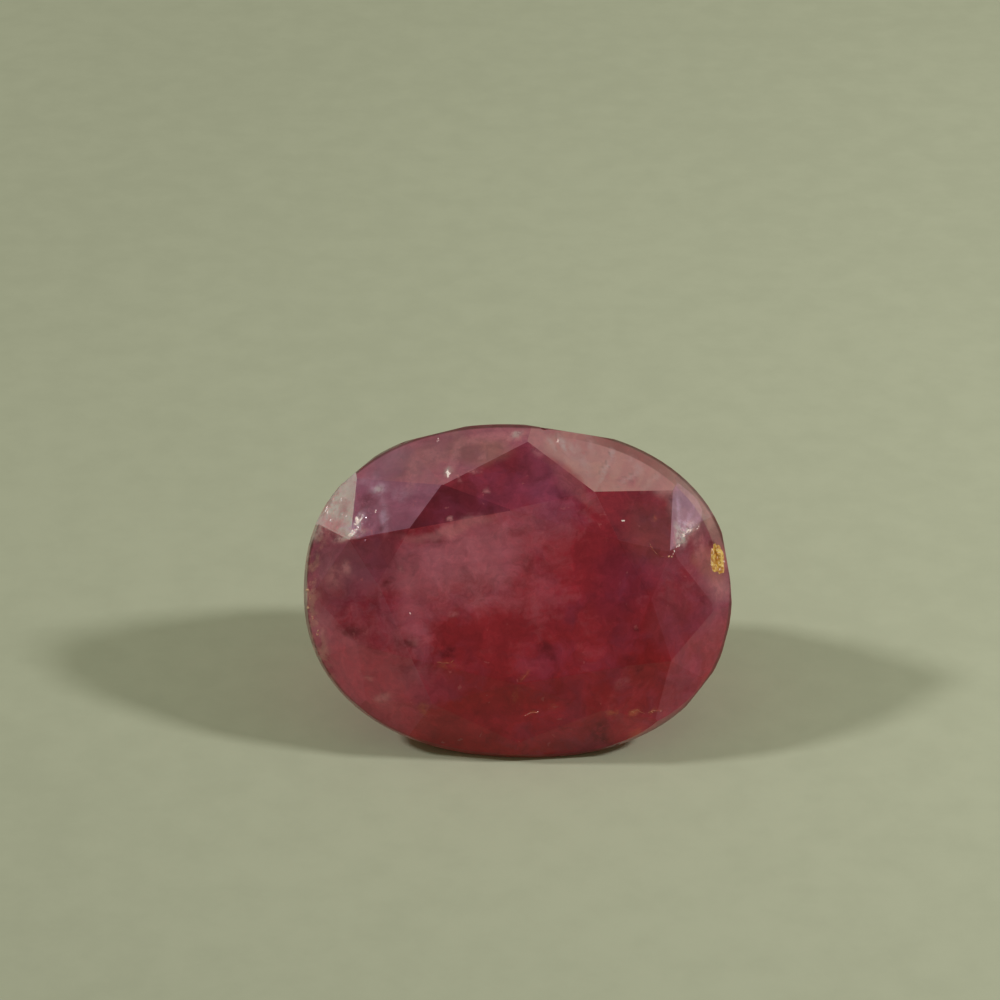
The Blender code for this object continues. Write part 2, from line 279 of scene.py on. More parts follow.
# Cream spots where the surface is frosted or bruised, partly painted highlight of lamp light, the same
# way
CREAM_SPOTS_AND_HIGHLIGHTS = (
    ((-5.21, 3.04), (0.28, 0.15), 55, 0.9), ((-5.52, 2.66), (0.26, 0.16), 72, 0.9),
    ((-6.04, 1.80), (0.32, 0.13), 68, 0.6), ((4.78, 1.88), (0.09, 0.28), 0, 0.6),
    ((-5.16, 1.76), (0.20, 0.10), -35, 0.8),
    ((-5.62, 2.35), (0.22, 0.14), 70, 0.8), ((-5.05, 2.55), (0.10, 0.34), -8, 0.5),
    ((-5.05, 1.66), (0.40, 0.08), 18, 0.7), ((-4.77, 2.12), (0.09, 0.24), -10, 0.6),
    ((-4.20, 3.08), (0.12, 0.10), 0, 0.5), ((5.08, 1.78), (0.40, 0.13), 42, 0.8),
    ((4.84, 1.66), (0.07, 0.16), -5, 0.5), ((4.94, 1.70), (0.13, 0.26), 0, 0.7),
    ((5.10, 2.05), (0.20, 0.14), 40, 0.2),
    ((-2.10, 3.62), (0.09, 0.16), -10, 0.6), ((-0.03, 4.76), (0.14, 0.08), 8, 0.7),
)
# Rusty spots, the same way
RUST_SPOTS = (
    ((-2.79, -3.50), (0.13, 0.16), 0, 0.5), ((-0.05, -3.08), (0.09, 0.18), -10, 0.4),
    ((0.47, -3.63), (0.12, 0.06), 20, 0.6), ((2.85, -3.61), (0.14, 0.08), 0, 0.7),
    ((3.52, -3.63), (0.14, 0.08), 10, 0.8), ((4.14, -3.60), (0.16, 0.06), 8, 0.5),
    ((0.22, -2.50), (0.06, 0.20), -32, 0.4), ((1.06, -3.45), (0.12, 0.06), 20, 0.4),
    ((4.08, 2.21), (0.09, 0.06), 60, 0.8), ((3.60, -4.30), (0.24, 0.14), 30, 0.35),
    ((-2.15, -2.20), (0.24, 0.09), 0, 0.3),
)
# Each group of small things in the stone with its colour, and how soft their borders are
SPOT_GROUPS = (
    (PALE_SPOTS, (1.00, 0.43, 0.48)), (VEILS, (0.90, 0.62, 0.84)),
    (STREAKS, (1.00, 0.68, 0.70)), (CREAM_SPOTS_AND_HIGHLIGHTS, (1.00, 0.86, 0.82)),
    (RUST_SPOTS, (0.92, 0.27, 0.13)), (DARK_SPOTS, (0.15, 0.010, 0.018)),
)
SPOT_SOFTNESS = 0.7

# The stone's body, from clear red to almost white
BODY_COLOURS = (
    (0.00, (0.26, 0.012, 0.030, 1)),
    (0.25, (0.54, 0.033, 0.058, 1)),
    (0.55, (0.78, 0.25, 0.33, 1)),
    (1.00, (1.00, 0.54, 0.50, 1)),
)
LILAC = (0.50, 0.25, 0.48)
VIOLET = (0.50, 0.12, 0.30)
# Cream of the frosted facets: their frost, and partly painted highlight of lamp light on them
FROST_AND_HIGHLIGHT_COLOUR = (0.94, 0.80, 0.78, 1)
SPECK_COLOUR = (0.98, 0.30, 0.33)

# Painted highlights: these grains are coloured near-white and given a faint glow, standing in for
# sparkle of lamp light
# Bright grains on the surface: middle (x, y) and reach along and across in millimetres, turn in degrees
GLINTS = (
    ((-2.10, 3.56), (0.12, 0.080), 75), ((-2.43, 4.55), (0.08, 0.035), 72),
    ((-4.76, 2.20), (0.19, 0.100), 70), ((-4.68, 2.26), (0.09, 0.035), 50),
    ((-4.84, 2.02), (0.10, 0.040), 15), ((-5.00, 1.74), (0.17, 0.085), 20),
    ((-4.86, 1.80), (0.11, 0.055), 50), ((-4.30, 2.39), (0.07, 0.045), 60),
    ((1.22, 4.58), (0.14, 0.035), 82), ((3.14, 2.13), (0.06, 0.050), 0),
    ((5.16, 1.84), (0.11, 0.050), 40), ((5.00, 1.72), (0.10, 0.055), 30),
    ((4.83, 1.40), (0.12, 0.045), 50), ((4.68, 1.18), (0.09, 0.040), 60),
    ((5.42, 1.92), (0.09, 0.040), 30), ((-3.19, -0.64), (0.05, 0.045), 0),
    ((6.08, 1.33), (0.06, 0.045), 30), ((6.24, 0.91), (0.05, 0.040), 0),
    ((6.00, 0.80), (0.06, 0.045), 0),
)
PEACH_GRAINS = (
    ((4.57, 1.07), (0.07, 0.050), 20), ((-6.37, 0.00), (0.12, 0.070), 80),
    ((-6.33, -0.46), (0.13, 0.060), 90), ((-6.05, -1.26), (0.10, 0.055), 70),
    ((-6.28, -0.22), (0.07, 0.045), 60), ((-6.20, -0.80), (0.07, 0.045), 60),
    ((4.10, -3.61), (0.09, 0.030), 8), ((3.50, -3.64), (0.05, 0.030), 40),
)
# A drop of amber stain on the right rim: middle, reach along and across, turn, height
STAIN = ((6.04, 0.99), (0.60, 0.23), 97, 0.07)
# Healed cracks that reach the surface, as points (x, y)
HAIRLINES = (
    ((3.94, 1.46), (4.10, 1.20), (4.28, 1.08), (4.56, 1.05)),
    ((-2.40, -2.09), (-2.19, -2.13), (-1.99, -2.12), (-1.89, -2.02)),
    ((0.31, -2.40), (0.20, -2.52), (0.13, -2.62)),
    ((3.40, -3.62), (3.60, -3.55), (3.82, -3.66)),
    ((3.95, -3.63), (4.10, -3.57), (4.34, -3.60)),
    ((0.22, -3.72), (0.42, -3.62), (0.64, -3.60)),
)
# How broad they are, how far apart their points lie and how far these stray, in millimetres
HAIRLINE_WIDTH = 0.026
HAIRLINE_STEP = 0.06
HAIRLINE_SHAKE = 0.012
# How deep the small things reach into the stone, in millimetres
SUNK = 0.02
# Grains in one bright speck, and how high one may be in millimetres
CLUSTER = 3
GRAIN_HEIGHT = 0.05
# Rings and sides of the mesh of a grain, and of the stain
GRAIN_DETAIL = (2, 8)
STAIN_DETAIL = (6, 26)
# Looks of the small things: deep and pale colour, how finely the two are mixed, roughness and painted
# glow
SMALL_LOOKS = {
    "glints": ((0.95, 0.70, 0.66), (1.00, 0.92, 0.88), 9, 0.25, 0.15),
    "peach_grains": ((0.80, 0.28, 0.18), (0.92, 0.58, 0.42), 9, 0.3, 0.0),
    "hairlines": ((0.50, 0.11, 0.07), (0.80, 0.32, 0.20), 6, 0.35, 0.0),
    "amber_stain": ((0.60, 0.22, 0.03), (1.00, 0.66, 0.17), 9, 0.22, 0.0),
}
# Colour of the painted glow that stands in for the glints' sparkle
PAINTED_GLOW_COLOUR = (1.0, 0.93, 0.88, 1)

# The rim's brown band and dark line: shares of the outline between which they set in
RIM_BAND = (0.937, 0.945)
# Along the bottom, where the stone meets the paper, the dark line also stands for painted contact shade
RIM_LINE = (0.982, 0.992)
RIM_BROWNS = ((0.50, 0.20, 0.19, 1), (0.78, 0.48, 0.43, 1))
RIM_LINE_AND_CONTACT_SHADE_COLOUR = (0.18, 0.08, 0.06)
RIM_CRUMBS = (0.92, 0.52, 0.42)
# How the outline is turned against the facets, in degrees
OUTLINE_TURN = -2

# Starts of the random draws
WEAR_SEED = 3
CHIP_SEED = 7
FROST_SEED = 11
SMALL_SEED = 5
WANDER_SEED = 3


def gem_point(x, y, z):
    """A point given in the stone's own axes, as a place in the room."""
    return (Matrix.Rotation(STONE_TILT, 3, "X") @ Vector((x, y, z)) + STONE_ORIGIN) * MM


def room_point(point):
    """A place in the room, in the stone's own axes."""
    return Matrix.Rotation(-STONE_TILT, 3, "X") @ (point / MM - STONE_ORIGIN)


def add_camera():
    """A camera where the photograph's was, aimed so that the stone falls at its place in the frame."""
    forward = Vector((0, math.cos(VIEW_ELEVATION), -math.sin(VIEW_ELEVATION)))
    right = Vector((1, 0, 0))
    up = right.cross(forward)
    place = STONE_MIDDLE - forward * VIEW_DISTANCE
    aside = (FRAME_PIXELS / 2 - STONE_PIXEL[0]) * PIXEL
    above = (STONE_PIXEL[1] - FRAME_PIXELS / 2) * PIXEL
    aim = STONE_MIDDLE + right * aside + up * above
    data = bpy.data.cameras.new("camera")
    data.sensor_width = SENSOR_WIDTH
    reach = (aim - place).length
    data.lens = data.sensor_width / (FRAME_PIXELS * PIXEL) * reach
    data.clip_start = NEAR_CLIP
    data.clip_end = FAR_CLIP
    camera = bpy.data.objects.new("camera", data)
    camera.location = place
    camera.rotation_euler = (aim - place).to_track_quat("-Z", "Y").to_euler()
    bpy.context.scene.collection.objects.link(camera)
    bpy.context.scene.camera = camera


def toward(azimuth, elevation):
    """Unit direction at this azimuth from +X towards +Y, and this elevation."""
    a, e = math.radians(azimuth), math.radians(elevation)
    return Vector((math.cos(e) * math.cos(a), math.cos(e) * math.sin(a), math.sin(e)))


def area_light(name, direction, distance, size, power):
    """A soft round lamp that faces the stone from this direction."""
    data = bpy.data.lights.new(name, "AREA")
    data.shape = "DISK"
    data.size = size
    data.energy = power
    lamp = bpy.data.objects.new(name, data)
    lamp.location = STONE_MIDDLE + direction * distance
    lamp.rotation_euler = (-direction).to_track_quat("-Z", "Y").to_euler()
    bpy.context.scene.collection.objects.link(lamp)


def add_lights():
    """A lamp at each side casts the two long shadows, and the room fills them softly."""
    for name, (direction, distance, size, power) in LAMPS.items():
        area_light(name, toward(*direction), distance, size, power)
    world = bpy.data.worlds.new("room")
    world.use_nodes = True
    sky = world.node_tree.nodes["Background"]
    sky.inputs["Color"].default_value = ROOM_COLOUR
    sky.inputs["Strength"].default_value = ROOM_STRENGTH
    bpy.context.scene.world = world


class Shade:
    """A material's nodes, written as short calls. Each call returns the new node's output."""

    def __init__(self, name):
        self.material = bpy.data.materials.new(name)
        self.material.use_nodes = True
        self.tree = self.material.node_tree
        self.shader = self.tree.nodes["Principled BSDF"]
        self.output = self.tree.nodes["Material Output"]

    def node(self, kind, inputs=None, result=0, **settings):
        made = self.tree.nodes.new("ShaderNode" + kind)
        for key, value in settings.items():
            setattr(made, key, value)
        for key, value in (inputs or {}).items():
            self.put(value, made.inputs[key])
        return made.outputs[result]

    def put(self, value, socket):
        if isinstance(value, bpy.types.NodeSocket):
            self.tree.links.new(value, socket)
        else:
            socket.default_value = value

    def set(self, **values):
        for key, value in values.items():
            self.put(value, self.shader.inputs[key.replace("_", " ")])

    def math(self, operation, a, b=0.0, clamp=False):
        return self.node("Math", {0: a, 1: b}, operation=operation, use_clamp=clamp)

    def scaled(self, value, factor, plus):
        """value times factor, plus something."""
        return self.node("Math", {0: value, 1: factor, 2: plus}, operation="MULTIPLY_ADD")

    def ramp(self, value, low, high, to_low=0.0, to_high=1.0, kind="SMOOTHSTEP"):
        ends = {"From Min": low, "From Max": high, "To Min": to_low, "To Max": to_high}
        return self.node("MapRange", {"Value": value, **ends}, interpolation_type=kind)

    def mix(self, factor, a, b):
        return self.node("Mix", {0: factor, 6: a, 7: b}, 2, data_type="RGBA")

    def stops(self, value, stops):
        """A colour that runs through these stops as value goes from 0 to 1."""
        made = self.tree.nodes.new("ShaderNodeValToRGB")
        row = made.color_ramp.elements
        while len(row) < len(stops):
            row.new(0.5)
        for element, (place, colour) in zip(row, stops):
            element.position = place
            element.color = colour
        self.put(value, made.inputs[0])
        return made.outputs[0]

    def mark(self, name, result=2):
        """A value that the stone's faces or points carry."""
        return self.node("Attribute", result=result, attribute_name=name)

    def noise(self, place, scale, detail, roughness, result=0):
        values = {"Vector": place, "Scale": scale, "Detail": detail, "Roughness": roughness}
        return self.node("TexNoise", values, result)

    def vector(self, operation, a, b=None, scale=None):
        inputs = {0: a}
        if b is not None:
            inputs[1] = b
        if scale is not None:
            inputs[3] = scale
        result = 1 if operation == "LENGTH" else 0
        return self.node("VectorMath", inputs, result, operation=operation)

    def stone_place(self):
        """A point of the surface in the stone's own axes, in millimetres."""
        turn = Matrix.Rotation(-STONE_TILT, 3, "X")
        settings = {
            "Vector": self.node("TexCoord", result=3),
            "Location": -(turn @ STONE_ORIGIN),
            "Rotation": (-STONE_TILT, 0, 0),
            "Scale": (1 / MM, 1 / MM, 1 / MM),
        }
        return self.node("Mapping", settings, vector_type="POINT")

    def near(self, place, centre, reach, turn, soft):
        """One inside an ellipse of the stone's x and y, fading to nothing across its border."""
        settings = {
            "Vector": place,
            "Location": (*centre, 0),
            "Rotation": (0, 0, math.radians(turn)),
            "Scale": (*reach, 100),
        }
        inside = self.node("Mapping", settings, vector_type="TEXTURE")
        return self.ramp(self.vector("LENGTH", inside), 1 - soft, 1 + soft, 1, 0)

    def streaks(self, place, turn, length, width):
        """Noise drawn out along a direction in the stone's x and y."""
        settings = {
            "Vector": place,
            "Rotation": (0, 0, math.radians(turn)),
            "Scale": (length, width, 1),
        }
        return self.noise(self.node("Mapping", settings, vector_type="TEXTURE"), 1, 3, 0.55)

    def tint(self, mask, strength, under, colour):
        """Lays a colour over another one where the mask says so."""
        return self.mix(self.math("MULTIPLY", mask, strength, clamp=True), under, (*colour, 1))

    def axes(self, place):
        """The x, y and z of a place."""
        split = self.tree.nodes.new("ShaderNodeSeparateXYZ")
        self.put(place, split.inputs[0])
        return tuple(split.outputs)

    def outline_share(self, place):
        """Zero at the stone's middle and one at its outline, seen along z."""
        settings = {
            "Vector": place,
            "Rotation": (0, 0, math.radians(OUTLINE_TURN)),
            "Scale": (*OUTLINE, 1),
        }
        x, y, _ = self.axes(self.node("Mapping", settings, vector_type="TEXTURE"))
        powers = [self.math("POWER", self.math("ABSOLUTE", part), OUTLINE_POWER) for part in (x, y)]
        return self.math("POWER", self.math("ADD", *powers), 1 / OUTLINE_POWER)


def add_floor():
    """A wide sheet of pale sage paper with a faint grain, and painted light: paler to the right, darker
    in front.
    """
    mesh = bpy.data.meshes.new("paper")
    sheet = bmesh.new()
    bmesh.ops.create_grid(sheet, x_segments=2, y_segments=2, size=PAPER_REACH)
    sheet.to_mesh(mesh)
    sheet.free()
    paper = bpy.data.objects.new("paper", mesh)
    bpy.context.scene.collection.objects.link(paper)
    look = Shade("paper")
    place = look.node("TexCoord", result=3)
    x, y, _ = look.axes(place)
    grain = look.noise(place, 700, detail=4, roughness=0.6)
    cloud = look.noise(place, 45, detail=3, roughness=0.5)
    tone = look.math("ADD", look.math("MULTIPLY", grain, 0.6), look.math("MULTIPLY", cloud, 0.4))
    # Painted light and shade: the paper's colour grows paler towards the right and darker towards the
    # front
    aside = look.ramp(x, -0.016, 0.016, 1.01, 1.10, "LINEAR")
    painted_front_shade = look.ramp(y, -0.030, 0.0, 0.87, 1.0, "LINEAR")
    paper_tone = look.mix(look.ramp(tone, 0.35, 0.65), PAPER_DEEP, PAPER_PALE)
    look.set(Base_Color=look.vector("SCALE", paper_tone, scale=look.math("MULTIPLY", aside, painted_front_shade)))
    look.set(Roughness=0.85)
    look.set(Normal=look.node("Bump", {"Height": grain, "Strength": 0.12, "Distance": 0.0001}))
    mesh.materials.append(look.material)


def haze_of(look, place, loose):
    """How milky the stone is at each point, from clear red at 0 to almost white at 1."""
    haze = look.math("ADD", look.mark("milky"), look.mark("clouded"))
    mottle = look.noise(loose, 0.8, detail=5, roughness=0.62)
    grain = look.noise(loose, 3.5, detail=4, roughness=0.65)
    silk = look.streaks(place, turn=9, length=1.6, width=0.16)
    for layer, reach in ((mottle, 0.10), (grain, 0.07), (silk, 0.03)):
        haze = look.math("ADD", haze, look.ramp(layer, 0.3, 0.7, -reach, reach, "LINEAR"))
    fan = look.ramp(look.streaks(place, turn=64, length=1.6, width=0.34), 0.38, 0.62, -0.26, 0.16)
    band = look.near(place, centre=(3.0, 4.1), reach=(2.5, 0.75), turn=-22, soft=0.25)
    return look.math("ADD", haze, look.math("MULTIPLY", fan, band))


def rim_colours(look, place, under):
    """The brown band inside the upper right rim, the rim's dark line and its crumbly left end."""
    x, y, _ = look.axes(place)
    share = look.outline_share(place)
    high = look.ramp(y, 0.6, 2.2)
    right = look.ramp(x, 0.8, 3.2)
    band = look.math("MULTIPLY", look.ramp(share, *RIM_BAND), look.math("MULTIPLY", high, right))
    brown = look.mix(look.ramp(x, 3.6, 5.4), *RIM_BROWNS)
    under = look.mix(look.math("MULTIPLY", band, 0.8), under, brown)
    wider = look.ramp(x, 0.8, 3.2, 0.008, 0.0)
    line = look.ramp(look.math("ADD", share, wider), *RIM_LINE)
    # Painted contact shade: along the bottom the dark line keeps most of its strength where the stone
    # meets the paper
    line = look.math("MULTIPLY", line, look.ramp(y, -4.2, -2.5, 0.60, 1))
    under = look.tint(line, 0.75, under, RIM_LINE_AND_CONTACT_SHADE_COLOUR)
    left = look.math("MULTIPLY", look.ramp(x, -5.3, -5.9), look.ramp(share, 0.90, 0.96))
    crumbs = look.ramp(look.noise(place, 2.6, detail=4, roughness=0.6), 0.46, 0.60)
    return look.tint(look.math("MULTIPLY", left, crumbs), 0.55, under, RIM_CRUMBS)


def ruby_material():
    """Milky ruby: red glass with a cloud of veils in it, a few frosted and stained places, painted
    shade and highlights.
    """
    look = Shade("ruby")
    place = look.stone_place()

    # Coordinates that wander, so that no cloud has a drawn border
    wander_noise = look.noise(place, 0.9, detail=4, roughness=0.6, result=1)
    drift = look.vector("ADD", wander_noise, (-0.5, -0.5, -0.5))
    loose = look.vector("ADD", place, look.vector("SCALE", drift, scale=1.5))
    body = look.stops(look.scaled(haze_of(look, place, loose), 0.75, 0.25), BODY_COLOURS)
    # The zones carry the tints and the painted shade of the lower part
    body = look.mix(look.mark("zone"), body, look.mark("zone_colour", 0))
    body = look.tint(look.mark("lilac"), 0.6, body, LILAC)
    violet = look.ramp(look.noise(loose, 0.55, detail=4, roughness=0.6), 0.45, 0.68)
    body = look.tint(violet, 0.22, body, VIOLET)
    body = rim_colours(look, place, body)

    # Frost with its partly painted highlight, the small spots that the points carry, and specks all
    # over
    frosted = look.mark("frosted")
    flecks = look.ramp(look.noise(place, 1.7, detail=5, roughness=0.7), 0.40, 0.60, 0.35, 1)
    body = look.mix(look.math("MULTIPLY", flecks, frosted), body, FROST_AND_HIGHLIGHT_COLOUR)
    broken = look.ramp(look.noise(place, 4.2, detail=5, roughness=0.65), 0.36, 0.58, 0.25, 1.2)
    spotted = look.math("MULTIPLY", look.mark("spot"), broken, clamp=True)
    body = look.mix(spotted, body, look.mark("spot_colour", 0))
    specks = look.node("TexVoronoi", {"Vector": loose, "Scale": 1.9}, distance="EUCLIDEAN")
    chosen = look.ramp(look.noise(place, 1.3, detail=2, roughness=0.5), 0.50, 0.56)
    specks = look.math("MULTIPLY", look.ramp(specks, 0.15, 0.05), chosen)
    body = look.tint(specks, 0.35, body, SPECK_COLOUR)

    # Lighter and darker patches, weaker where the stone is milky
    patches = look.noise(loose, 1.5, detail=6, roughness=0.70)
    uneven = look.ramp(patches, 0.32, 0.68, -0.32, 0.20, "LINEAR")
    clear = look.scaled(look.mark("milky"), -0.7, 1)
    body = look.vector("SCALE", body, scale=look.scaled(uneven, clear, 1))

    look.set(Base_Color=body, IOR=1.77, Roughness=look.scaled(frosted, 0.25, 0.28))
    look.set(Transmission_Weight=look.scaled(frosted, -0.14, 0.5))
    look.set(Specular_Tint=(0.4, 0.22, 0.3, 1), Specular_IOR_Level=0.2)
    look.set(Coat_Weight=look.scaled(frosted, -0.42, 0.5), Coat_Roughness=0.06, Coat_IOR=1.4)
    look.set(Subsurface_Weight=0.35, Subsurface_Scale=0.0006, Subsurface_Radius=(1.0, 0.3, 0.35))
    inside = look.node("VolumeAbsorption", {"Color": (0.95, 0.35, 0.4, 1), "Density": 100.0})
    look.put(inside, look.output.inputs["Volume"])
    return look.material


def blob(points, centre, reach, turn, soft):
    """One inside an ellipse of the stone's x and y, fading smoothly to nothing across its border."""
    cos, sin = math.cos(math.radians(turn)), math.sin(math.radians(turn))
    x, y = points[:, 0] - centre[0], points[:, 1] - centre[1]
    away = np.hypot((x * cos + y * sin) / reach[0], (y * cos - x * sin) / reach[1])
    share = np.clip((1 + soft - away) / (2 * soft), 0, 1)
    return share * share * (3 - 2 * share)


def wander(points, size, reach):
    """The points moved about by smooth noise, so that a border drawn through them turns uneven."""
    moves = [noise.turbulence_vector(Vector(p) / size, 3, False) for p in points]
    return points + np.array(moves) * reach


def lay_over(under, colour, amount):
    """Lays a colour over what is there: under holds the colours and how much they cover."""
    colours, cover = under
    amount = np.clip(amount, 0, 1)[:, None]
    total = amount + cover * (1 - amount)
    mixed = np.array(colour) * amount + colours * cover * (1 - amount)
    return mixed / np.maximum(total, 1e-6), total


def colour_points(mesh):
    """Gives every point its share of the clouds, the painted shade below, the tinted zones and the
    small spots.
    """
    places = np.empty(len(mesh.vertices) * 3)
    mesh.vertices.foreach_get("co", places)
    tilt = np.array(Matrix.Rotation(STONE_TILT, 3, "X"))
    points = (places.reshape(-1, 3) / MM - np.array(STONE_ORIGIN)) @ tilt
    # Without a start of its own, this noise would differ from run to run
    noise.seed_set(WANDER_SEED)
    loose = wander(points, size=1.3, reach=0.35)
    ragged = wander(points, size=0.25, reach=0.05)
    nothing = (np.zeros((len(points), 3)), np.zeros((len(points), 1)))

    # Painted shade over the lower part, where the pavilion faces the floor and gets little light
    slope = np.array((math.sin(DARK_LEFT_TURN), -math.cos(DARK_LEFT_TURN)))
    beside = (loose[:, :2] - DARK_LEFT_POINT) @ slope
    droop = np.array([DARK_DROOP * noise.noise(Vector(p) * 0.6) for p in points])
    below = (DARK_TOP - loose[:, 1] + droop) / DARK_TOP_FADE
    painted_shade = np.clip((beside + 0.25) / DARK_LEFT_FADE, 0, 1) * np.clip(below + 0.4, 0, 1)
    clouded = -PAINTED_SHADE_CLEARING * painted_shade
    for centre, reach, turn, strength, soft in CLOUDS:
        clouded += strength * blob(loose, centre, reach, turn, soft)

    zones = lay_over(nothing, PAINTED_SHADE_COLOUR, PAINTED_SHADE_STRENGTH * painted_shade)
    for centre, reach, turn, colour, strength, soft in TINTS:
        zones = lay_over(zones, colour, strength * blob(loose, centre, reach, turn, soft))

    crown = np.clip((points[:, 2] + 0.25) / 0.25, 0, 1)
    spots = nothing
    for group, colour in SPOT_GROUPS:
        amount = sum(
            strength * blob(ragged, centre, reach, turn, SPOT_SOFTNESS)
            for centre, reach, turn, strength in group
        )
        spots = lay_over(spots, colour, amount * crown)

    for name, (colours, cover) in (("zone", zones), ("spot", spots)):
        mesh.attributes.new(name, "FLOAT", "POINT").data.foreach_set("value", cover.ravel())
        colours = np.hstack((colours, np.ones((len(points), 1))))
        layer = mesh.attributes.new(name + "_colour", "FLOAT_COLOR", "POINT")
        layer.data.foreach_set("color", colours.ravel())
    mesh.attributes.new("clouded", "FLOAT", "POINT").data.foreach_set("value", clouded)


def facet_look(middle, normal):
    """How milky, lilac and frosted the facet with this middle is, both in the stone's own axes."""
    if normal.z < CROWN_SLOPE:
        return PAVILION_LOOK

    def gap(entry):
        return (Vector(entry[0]) - middle.xy).length

    return min(CROWN_FACETS.values(), key=gap)[1:]


def wear_edges(shape):
    """A narrow flat along each long edge between facets, as on a stone that has been handled."""
    draw = random.Random(WEAR_SEED)
    flats = {}
    for edge in shape.edges:
        if edge.calc_length() < WORN_EDGE_LENGTH:
            continue
        if min(face.calc_area() for face in edge.link_faces) < WORN_FACE_AREA:
            continue
        bend = edge.calc_face_angle_signed()
        if bend > WORN_EDGE_ANGLE:
            out = (edge.link_faces[0].normal + edge.link_faces[1].normal).normalized()
            middle = (edge.verts[0].co + edge.verts[1].co) / 2
            key = tuple(round(v, 2) for v in out) + (round(out.dot(middle) / MM, 1),)
            flats.setdefault(key, (out, middle, math.tan(bend / 2)))
    for out, middle, steep in flats.values():
        depth = draw.uniform(*EDGE_WEAR) / 2 * steep * MM
        cut = bmesh.ops.bisect_plane(
            shape, geom=shape.verts[:] + shape.edges[:] + shape.faces[:],
            plane_co=middle - out * depth, plane_no=out, clear_outer=True, dist=1e-8,
        )
        edges = [item for item in cut["geom_cut"] if isinstance(item, bmesh.types.BMEdge)]
        bmesh.ops.contextual_create(shape, geom=edges)


def outline_point(angle):
    """Where the outline lies in this direction, in the stone's own axes."""
    way = Vector((math.cos(angle), math.sin(angle), 0))
    share = sum(abs(v / r) ** OUTLINE_POWER for v, r in zip(way.xy, OUTLINE))
    return way / share ** (1 / OUTLINE_POWER)


def chip_rim(stone):
    """Little flakes broken out of the rim."""
    draw = random.Random(CHIP_SEED)
    cutters = bmesh.new()
    for angle, size, height in RIM_CHIPS:
        place = outline_point(math.radians(angle))
        out = place.normalized()
        centre = place + out * size * 0.35 + Vector((0, 0, height))
        made = bmesh.ops.create_icosphere(cutters, subdivisions=1, radius=size)
        spin = Matrix.Rotation(draw.uniform(0, math.pi), 3, Vector(draw.choices((1, 2, 3), k=3)))
        for vert in made["verts"]:
            vert.co = spin @ vert.co * draw.uniform(0.75, 1.1)
            vert.co.z *= 0.8
            vert.co = gem_point(*(centre + vert.co))
    bmesh.ops.recalc_face_normals(cutters, faces=cutters.faces[:])
    mesh = bpy.data.meshes.new("chips")
    cutters.to_mesh(mesh)
    cutters.free()
    chips = bpy.data.objects.new("chips", mesh)
    bpy.context.scene.collection.objects.link(chips)
    cut = stone.modifiers.new("chips", "BOOLEAN")
    cut.operation = "DIFFERENCE"
    cut.solver = "EXACT"
    cut.object = chips
    ready = stone.evaluated_get(bpy.context.evaluated_depsgraph_get())
    result = bpy.data.meshes.new_from_object(ready)
    bpy.data.objects.remove(chips)
    stone.modifiers.clear()
    return result


def frost_depth(point):
    """How deep the frosted surface is pitted at this point, in millimetres, and only on the crown."""
    deepest = 0
    for centre, reach, depth in FROST:
        away = Vector(((point.x - centre[0]) / reach[0], (point.y - centre[1]) / reach[1])).length
        deepest = max(deepest, depth * max(0, min(1, 1.6 - 1.3 * away)))
    if not deepest or point.z < 0.02:
        return 0
    pits = 0.5 + 0.5 * noise.noise(point * PIT_SCALE + Vector((3, 1, 4)))
    return deepest * (pits + 0.7 * abs(noise.noise(point * PIT_GRAIN_SCALE)))


def inside(polygon, x, y, margin):
    """Whether x, y lies in the polygon and further than margin from its sides."""
    odd = False
    for (x1, y1), (x2, y2) in zip(polygon, polygon[1:] + polygon[:1]):
        side = Vector((x2 - x1, y2 - y1))
        along = max(0, min(1, Vector((x - x1, y - y1)).dot(side) / max(side.length_squared, 1e-12)))
        if (Vector((x - x1, y - y1)) - side * along).length < margin:
            return False
        if (y1 > y) != (y2 > y) and x < (x2 - x1) * (y - y1) / (y2 - y1) + x1:
            odd = not odd
    return odd


